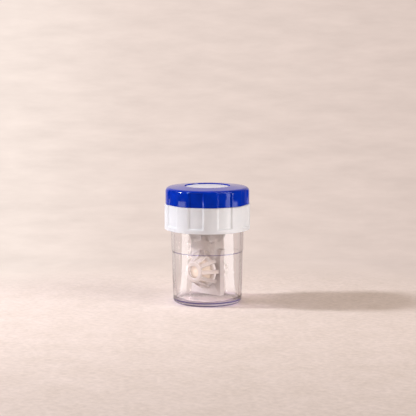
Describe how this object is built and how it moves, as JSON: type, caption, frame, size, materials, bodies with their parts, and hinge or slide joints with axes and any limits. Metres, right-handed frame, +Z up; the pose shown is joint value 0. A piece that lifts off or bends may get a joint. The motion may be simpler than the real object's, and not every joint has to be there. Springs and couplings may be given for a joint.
{
  "type": "contact lens cleaner",
  "caption": "Hand-turned contact lens cleaner: clear cup, white screw collar and blue knob that spins lens baskets inside",
  "frame": {"origin": "on the table, at the middle of the cup's base", "axes": "+Z up along the cup's axis, -Y towards the front basket along the wheels' axle, +X to the right of the hanging plate"},
  "size_m": [0.05, 0.05, 0.0685],
  "materials": {
    "clear_plastic": "gloss",
    "white_plastic": "satin",
    "blue_plastic": "gloss",
    "disc_plastic": "satin",
    "milky_plastic": "satin",
    "seat_plastic": "satin",
    "silicone": "matte",
    "steel": "brushed"
  },
  "bodies": {
    "cup": {"cup": "clear_plastic"},
    "gasket": {"cup_gasket": "silicone"},
    "lid": {"collar": "white_plastic", "hanger": "milky_plastic", "basket_plate": "milky_plastic", "wheel_axle": "steel", "axle_clips": "steel"},
    "knob": {"knob": "blue_plastic", "knob_disc": "disc_plastic", "knob_screw": "steel", "drive_shaft": "milky_plastic", "shaft_seal": "silicone", "thrust_washer": "white_plastic", "drive_pinion": "milky_plastic"},
    "front_wheel": {"front_wheel": "milky_plastic", "front_lens_seat": "seat_plastic"},
    "back_wheel": {"back_wheel": "milky_plastic", "back_lens_seat": "seat_plastic"},
    "front_basket": {"front_basket": "milky_plastic"},
    "back_basket": {"back_basket": "milky_plastic"}
  },
  "joints": [
    {"name": "lid_rise", "type": "slide", "parent": "cup", "child": "gasket", "axis": [0, 0, 1], "range_m": [0, 0.00501]},
    {"name": "lid_turn", "type": "hinge", "parent": "gasket", "child": "lid", "pos_m": [0, 0, 0.05], "axis": [0, 0, 1], "range_deg": [0, 450]},
    {"name": "knob_spin", "type": "hinge", "parent": "lid", "child": "knob", "pos_m": [0, 0, 0.06], "axis": [0, 0, 1], "continuous": true},
    {"name": "front_wheel_spin", "type": "hinge", "parent": "lid", "child": "front_wheel", "pos_m": [0, 0, 0.01925], "axis": [0, 1, 0], "continuous": true},
    {"name": "back_wheel_spin", "type": "hinge", "parent": "lid", "child": "back_wheel", "pos_m": [0, 0, 0.01925], "axis": [0, 1, 0], "continuous": true},
    {"name": "front_basket_pull", "type": "slide", "parent": "front_wheel", "child": "front_basket", "axis": [0, -1, 0], "range_m": [0, 0.0042]},
    {"name": "back_basket_pull", "type": "slide", "parent": "back_wheel", "child": "back_basket", "axis": [0, 1, 0], "range_m": [0, 0.0042]}
  ],
  "couplings": [
    {"joint": "lid_rise", "follows": "lid_turn", "m_per_rad": 0.00063662},
    {"joint": "front_wheel_spin", "follows": "knob_spin", "ratio": 0.4},
    {"joint": "back_wheel_spin", "follows": "knob_spin", "ratio": -0.4}
  ]
}
